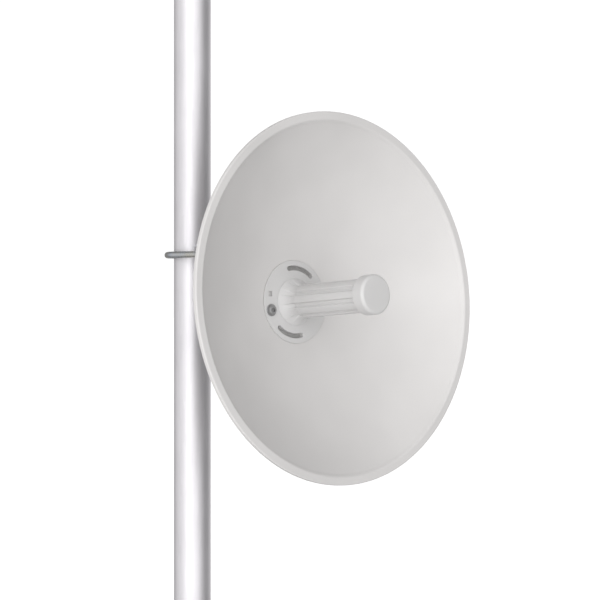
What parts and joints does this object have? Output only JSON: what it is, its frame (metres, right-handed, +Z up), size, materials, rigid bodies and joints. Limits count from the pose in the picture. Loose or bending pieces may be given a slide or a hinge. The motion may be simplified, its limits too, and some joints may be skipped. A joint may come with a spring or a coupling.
{
  "type": "wireless bridge dish antenna",
  "caption": "Point-to-point wireless bridge antenna: a round white dish with a centre feed, tilting on a bracket that clamps to a steel pole with a U-bolt.",
  "frame": {"origin": "middle of the foot plate's underside, on the pole's axis", "axes": "+Z up along the pole; the dish looks along -Y, tilted 3.6 degrees up"},
  "size_m": [0.42, 0.3906, 0.87],
  "materials": {
    "galvanised_steel": "galvanised, satin",
    "zinc_plated_steel": "zinc plated",
    "dark_steel": "grey phosphated",
    "white_powder_coat": "fine matt powder coat",
    "white_plastic": "satin moulded",
    "black_plastic": "matt moulded"
  },
  "bodies": {
    "pole": {"foot_plate": "galvanised_steel", "pole_tube": "galvanised_steel", "pole_cap": "black_plastic"},
    "clamp": {"pole_jaw": "zinc_plated_steel", "pole_bracket": "zinc_plated_steel", "u_bolt": "zinc_plated_steel", "u_bolt_washer_left": "zinc_plated_steel", "u_bolt_washer_right": "zinc_plated_steel", "u_bolt_nut_left": "zinc_plated_steel", "u_bolt_nut_right": "zinc_plated_steel", "pivot_bolt": "zinc_plated_steel", "pivot_nut": "zinc_plated_steel", "pivot_washer_left": "zinc_plated_steel", "pivot_washer_right": "zinc_plated_steel", "lock_bolt_left": "zinc_plated_steel", "lock_bolt_right": "zinc_plated_steel", "lock_washer_left": "zinc_plated_steel", "lock_washer_right": "zinc_plated_steel", "lock_nut_left": "zinc_plated_steel", "lock_nut_right": "zinc_plated_steel"},
    "dish": {"dish_bracket": "zinc_plated_steel", "bracket_bolt_1": "zinc_plated_steel", "bracket_bolt_2": "zinc_plated_steel", "bracket_bolt_3": "zinc_plated_steel", "bracket_bolt_4": "zinc_plated_steel", "radio_housing": "white_plastic", "housing_cover": "white_plastic", "port_cover": "white_plastic", "cable_gland": "black_plastic", "reflector": "white_powder_coat", "hub_plate": "white_plastic", "hub_bolt_left": "dark_steel", "hub_bolt_right": "dark_steel", "feed_base": "white_plastic", "feed_tube": "white_plastic", "feed_cap": "white_plastic"}
  },
  "joints": [
    {"name": "clamp_turn", "type": "hinge", "parent": "pole", "child": "clamp", "pos_m": [0, 0, 0.5025], "axis": [0, 0, 1], "range_deg": [-180, 180]},
    {"name": "dish_tilt", "type": "hinge", "parent": "clamp", "child": "dish", "pos_m": [0, -0.1, 0.455], "axis": [-1, 0, 0], "range_deg": [-20, 20]}
  ]
}
